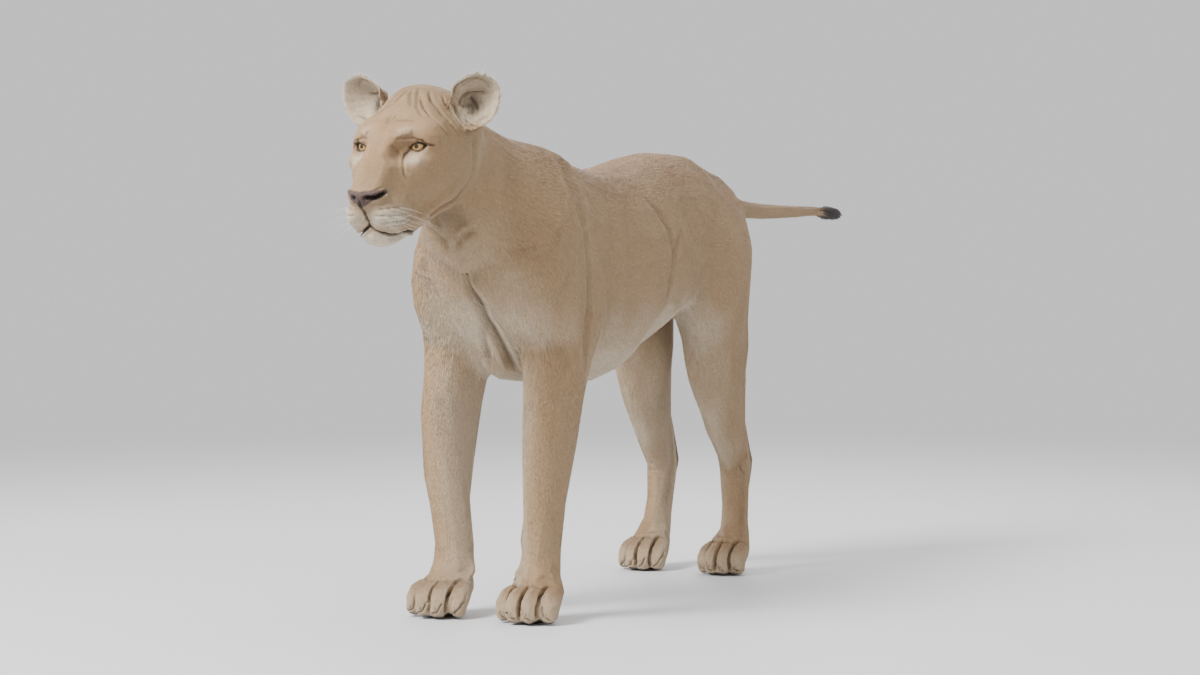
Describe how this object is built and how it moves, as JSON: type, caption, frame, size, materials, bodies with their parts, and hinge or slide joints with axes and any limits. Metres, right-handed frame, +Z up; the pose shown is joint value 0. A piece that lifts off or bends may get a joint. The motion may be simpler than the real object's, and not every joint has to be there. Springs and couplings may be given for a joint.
{
  "type": "lioness",
  "caption": "Life-size standing lioness with smooth tawny coat, rounded ears, closed mouth, level tail with dark tuft, square on four broad paws.",
  "frame": {"origin": "on the ground under the middle of her outline", "axes": "+Z up, nose toward -Y, tail toward +Y, her left side toward +X"},
  "size_m": [0.3848, 2.4006, 1.1492],
  "materials": {
    "tawny_fur": "short fur lying flat, darker along the back",
    "pale_fur": "short cream fur of the underside, chin and feet",
    "dark_fur": "long dark tuft at the end of the tail",
    "nose_leather": "moist grained skin",
    "iris": "wet gloss, round dark pupil",
    "horn": "smooth horn, paler at the tip"
  },
  "bodies": {
    "root": {"head": "tawny_fur", "nose": "nose_leather", "lower_jaw": "pale_fur", "eye_left": "iris", "eye_right": "iris", "ear_left": "tawny_fur", "ear_right": "tawny_fur", "neck": "tawny_fur", "chest": "tawny_fur", "shoulder_left": "tawny_fur", "shoulder_right": "tawny_fur", "belly": "pale_fur", "rump": "tawny_fur", "thigh_left": "tawny_fur", "thigh_right": "tawny_fur", "tail_root": "tawny_fur", "tail_mid": "tawny_fur", "tail_tuft": "dark_fur", "foreleg_left": "tawny_fur", "foreleg_right": "tawny_fur", "wrist_left": "tawny_fur", "wrist_right": "tawny_fur", "shin_left": "tawny_fur", "shin_right": "tawny_fur", "hock_left": "tawny_fur", "hock_right": "tawny_fur", "fore_paw_left": "pale_fur", "fore_paw_right": "pale_fur", "fore_claw_1_left": "horn", "fore_claw_1_right": "horn", "fore_claw_2_left": "horn", "fore_claw_2_right": "horn", "fore_claw_3_left": "horn", "fore_claw_3_right": "horn", "fore_claw_4_left": "horn", "fore_claw_4_right": "horn", "fore_claw_5_left": "horn", "fore_claw_5_right": "horn", "hind_paw_left": "pale_fur", "hind_paw_right": "pale_fur", "hind_claw_1_left": "horn", "hind_claw_1_right": "horn", "hind_claw_2_left": "horn", "hind_claw_2_right": "horn", "hind_claw_3_left": "horn", "hind_claw_3_right": "horn", "hind_claw_4_left": "horn", "hind_claw_4_right": "horn"}
  },
  "joints": []
}
